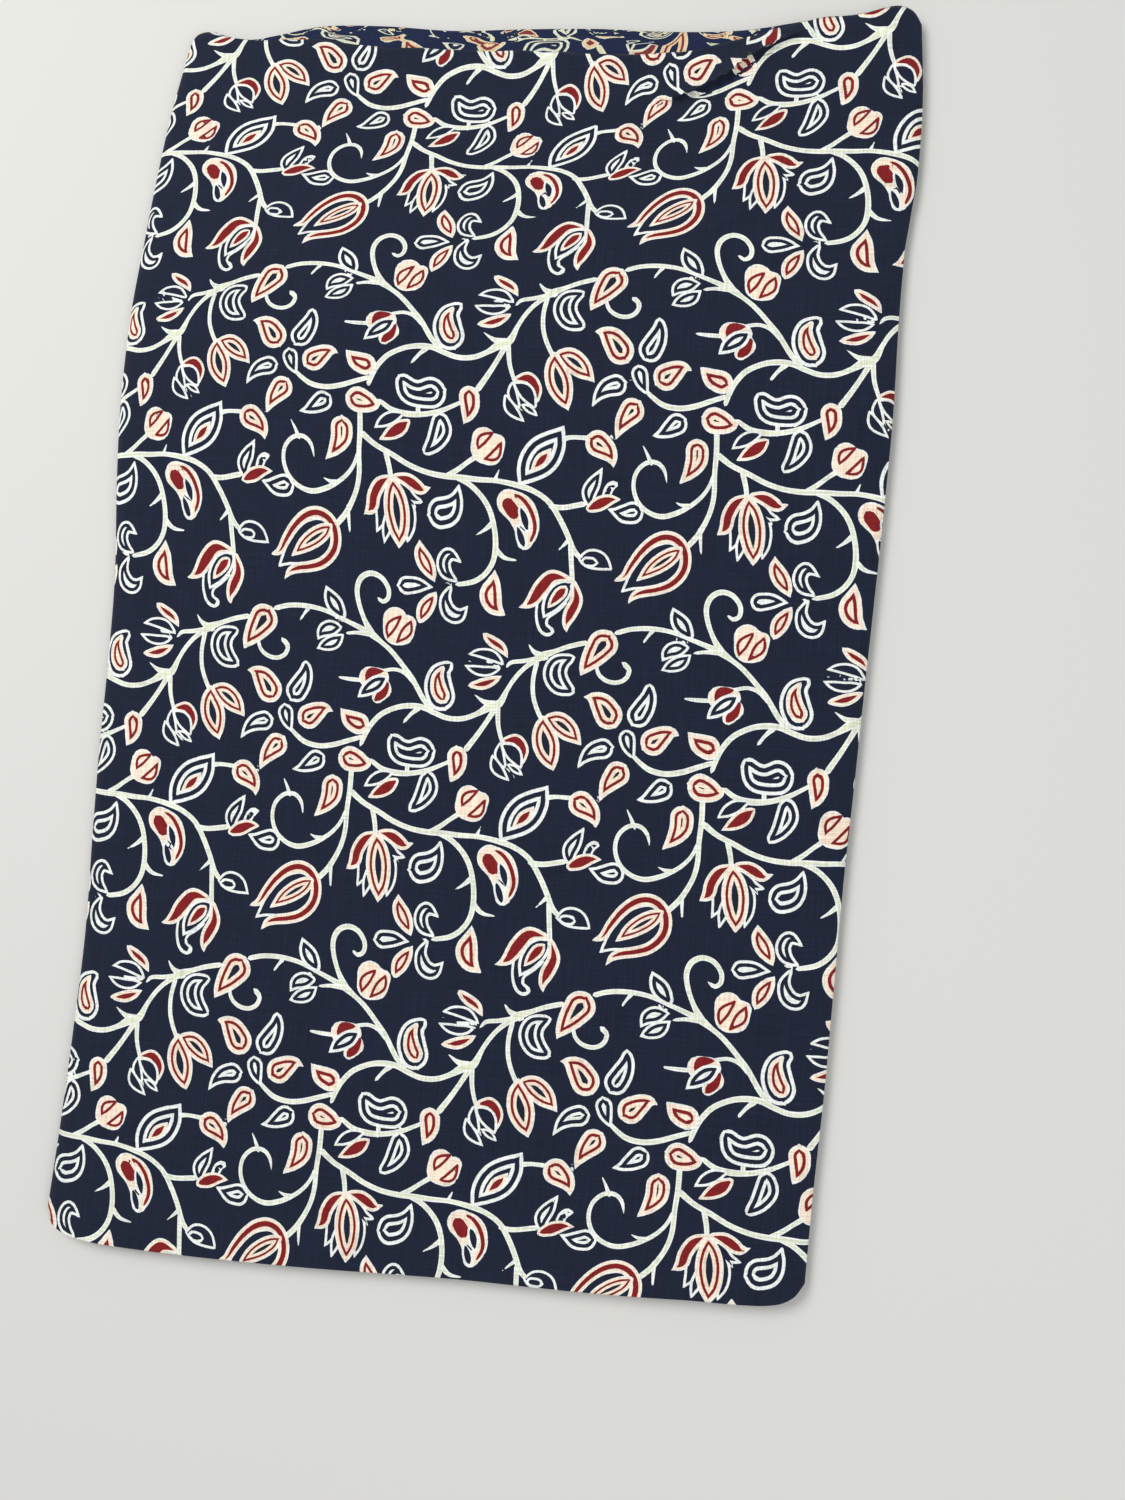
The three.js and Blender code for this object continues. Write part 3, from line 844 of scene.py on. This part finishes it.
PRINTED = {
    "ground": "#1A2032", "white": "#EBEDE7", "cream": "#DEE2C6",
    "peach": "#F4DFC8", "red": "#7E1B1E",
}
REVERSE = {
    "ground": "#1A2340", "white": "#D6D8C0", "cream": "#DAD6A0",
    "peach": "#DFC195", "red": "#7C3138",
}
LOWEST, SPAN = -1.0, 6.0  # the part of a depth that a ramp covers
SOFT = 0.08  # of a ring: how quickly one colour gives way to the next
print("palette:", PRINTED)

# %% The cloth material
STOPS = {  # depth at which each colour starts: units for the lines, rings for the motifs
    "stem": [(0.3, "white"), (1.3, "cream")],
    "white_rings": [
        (0.08, "white"), (0.93, "ground"), (2.07, "white"), (2.93, "ground"), (4.07, "white"),
    ],
    "white_line": [(0.08, "white"), (0.93, "ground")],
    "red_rings": [
        (0.06, "white"), (0.3, "peach"), (0.95, "red"), (1.55, "peach"), (2.3, "ground"),
    ],
    "red_petal": [(0.06, "white"), (0.3, "peach"), (0.95, "red")],
    "red_core": [(0.95, "red"), (1.55, "peach")],
    "red_spot": [(0.95, "red")],
}
MOTIF_KINDS = [kind for kind in STOPS if kind != "stem"]
LEVELS = ["stem_" + channel for channel in "dcba"]
for level in range(3):
    LEVELS += [f"{k}_{level}" for k in MOTIF_KINDS if f"{k}_{level}_left" in fields]
EDGE_NOISE, EDGE_WANDER = 330.0, 0.16  # noise for each metre, and how far the depth moves
SLUB_FINE, SLUB_LONG = 900.0, 34.0  # noise for each metre across a slub and along it
GRAIN_NOISE = 1000.0
print("drawn in this order:", ", ".join(LEVELS))


def cotton(name, palette):
    """One side of the cloth: every stroke's bands over the ground, with slubs and a grain."""
    material = bpy.data.materials.new(name)
    material.use_nodes = True
    tree = material.node_tree
    tree.nodes.clear()
    run = add(tree, "ShaderNodeUVMap", {"uv_map": "cloth_run"})

    # the printing block's edge wanders by a few tenths of a millimetre
    on_run = {"Vector": run.outputs[0]}
    wander = add(tree, "ShaderNodeTexNoise", {"Scale": EDGE_NOISE, "Detail": 3.0}, on_run)
    nudge = add(tree, "ShaderNodeMath", {
        "operation": "MULTIPLY_ADD", 1: EDGE_WANDER / SPAN, 2: (-EDGE_WANDER / 2 - LOWEST) / SPAN,
    }, {0: wander.outputs[0]})

    # slubs: streaks 30 mm long and 1 mm wide, along and across
    both = []
    for scale in ((SLUB_FINE, SLUB_LONG, 1.0), (SLUB_LONG, SLUB_FINE, 1.0)):
        stretch = add(tree, "ShaderNodeMapping", {"Scale": scale}, on_run)
        both.append(add(tree, "ShaderNodeTexNoise", {"Scale": 1.0, "Detail": 2.0},
                        {"Vector": stretch.outputs[0]}))
    slubs = add(tree, "ShaderNodeMath", {"operation": "ADD"},
                {0: both[0].outputs[0], 1: both[1].outputs[0]})
    shade = add(tree, "ShaderNodeMapRange", {
        "From Min": 0.72, "From Max": 1.3, "To Min": 0.78, "To Max": 1.28,
    }, {"Value": slubs.outputs[0]})

    ground = colour(palette["ground"])
    painted = None
    for field in LEVELS:
        left = add(tree, "ShaderNodeAttribute", {"attribute_name": field + "_left"})
        right = add(tree, "ShaderNodeAttribute", {"attribute_name": field + "_right"})
        depth = add(tree, "ShaderNodeMath", {"operation": "MINIMUM"},
                    {0: left.outputs["Fac"], 1: right.outputs["Fac"]})
        place = add(tree, "ShaderNodeMath", {"operation": "MULTIPLY_ADD", 1: 1 / SPAN},
                    {0: depth.outputs[0], 2: nudge.outputs[0]})
        ramp = add(tree, "ShaderNodeValToRGB", {}, {0: place.outputs[0]})
        bands = ramp.color_ramp
        was = (*ground[:3], 0.0)
        bands.elements[0].position, bands.elements[0].color = 0.0, was
        bands.elements[1].position, bands.elements[1].color = 1.0, ground
        for at, hue in STOPS[field[:-2]]:
            now = colour(palette[hue])
            before = (*now[:3], 0.0) if was[3] == 0 else was
            for side, value in ((-SOFT / 2, before), (SOFT / 2, now)):
                stop = bands.elements.new((at + side - LOWEST) / SPAN)
                stop.color = value
            was = now
        bands.elements[len(bands.elements) - 1].color = was
        mix = add(tree, "ShaderNodeMix", {"data_type": "RGBA"},
                  {0: ramp.outputs["Alpha"], 7: ramp.outputs["Color"]})
        if painted is None:
            mix.inputs[6].default_value = ground
        else:
            tree.links.new(painted, mix.inputs[6])
        painted = mix.outputs[2]
    tinted = add(tree, "ShaderNodeVectorMath", {"operation": "SCALE"},
                 {0: painted, "Scale": shade.outputs[0]})

    # slubs and grain stand up a little, and the surface is matt with a faint bloom
    grain = add(tree, "ShaderNodeTexNoise", {"Scale": GRAIN_NOISE, "Detail": 2.0}, on_run)
    relief = add(tree, "ShaderNodeMath", {"operation": "ADD"},
                 {0: slubs.outputs[0], 1: grain.outputs[0]})
    bump = add(tree, "ShaderNodeBump", {"Strength": 0.35, "Distance": 0.0004},
               {"Height": relief.outputs[0]})
    surface = add(tree, "ShaderNodeBsdfPrincipled", {
        "Roughness": 0.9, "IOR": 1.5, "Specular IOR Level": 0.18,
        "Sheen Weight": 0.06, "Sheen Roughness": 0.5,
    }, {"Base Color": tinted.outputs[0], "Normal": bump.outputs[0]})
    add(tree, "ShaderNodeOutputMaterial", {}, {"Surface": surface.outputs[0]})
    return material


mesh.materials.append(cotton("printed_navy_cotton", PRINTED))
mesh.materials.append(cotton("printed_navy_cotton_reverse", REVERSE))
mesh.polygons.foreach_set("material_index", (face_part == REVERSE_SIDE).astype(np.int32))
mesh.update()
print("materials:", [m.name for m in mesh.materials])

# %% The sheet in the frame
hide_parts("folded_cotton")
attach(cloth, "root")

# %% [markdown]
# ## Floor, light and camera
#
# A pale plain floor, one large soft light above and to the left, a weaker one on the other
# side, and a grey sky. The camera looks down on the pad from where the photograph was
# taken, a little to the right of its middle and almost straight above.

# %% Floor
bpy.ops.object.select_all(action="DESELECT")
bpy.ops.mesh.primitive_plane_add(size=8.0, location=(0, 0, 0))
floor = bpy.context.object
floor.name = "floor"
bpy.ops.object.select_all(action="DESELECT")
paint = bpy.data.materials.new("matt_pale_floor")
paint.use_nodes = True
matt = paint.node_tree.nodes["Principled BSDF"]
matt.inputs["Base Color"].default_value = colour("#DAD8D2")
matt.inputs["Roughness"].default_value = 0.9
floor.data.materials.append(paint)
print("floor:", floor.name)

# %% Lights
def soft_light(name, place, size, power):
    """A round soft light that points at the middle of the pad."""
    data = bpy.data.lights.new(name, "AREA")
    data.shape = "DISK"
    data.size, data.energy = size, power
    light = bpy.data.objects.new(name, data)
    light.location = place
    way = -np.array(place)
    yaw = math.atan2(way[1], way[0])
    tilt = math.acos(-way[2] / np.linalg.norm(way))
    light.rotation_euler = (tilt, 0, yaw - math.pi / 2)
    bpy.context.scene.collection.objects.link(light)


soft_light("window_light", (-1.2, 0.9, 2.2), 1.6, 45.0)
soft_light("fill_light", (1.5, -1.1, 1.9), 2.0, 20.0)
world = bpy.data.worlds.new("soft_sky")
world.use_nodes = True
sky = world.node_tree.nodes["Background"]
sky.inputs["Color"].default_value = colour("#E8ECF2")
sky.inputs["Strength"].default_value = 0.5
bpy.context.scene.world = world
bpy.context.scene.view_settings.view_transform = "Standard"

# %% Camera
FOCAL_PIXELS, IMAGE_HEIGHT = 1300.0, 1500
CAMERA_AT = (0.2436, -0.1841, 0.8991)
LOOKING = np.array([-0.1789, 0.104, -0.9784])
UPWARDS = np.array([-0.0802, 0.9895, 0.1198])
data = bpy.data.cameras.new("camera")
data.sensor_width = 36.0
data.lens = FOCAL_PIXELS / IMAGE_HEIGHT * data.sensor_width
camera = bpy.data.objects.new("camera", data)
backward = -LOOKING / np.linalg.norm(LOOKING)
right = np.cross(UPWARDS, backward)
right /= np.linalg.norm(right)
upright = np.cross(backward, right)
turn = [[right[i], upright[i], backward[i], CAMERA_AT[i]] for i in range(3)] + [[0, 0, 0, 1]]
camera.matrix_world = Matrix(turn)
bpy.context.scene.collection.objects.link(camera)
bpy.context.scene.camera = camera
print("camera lens:", round(data.lens, 2))
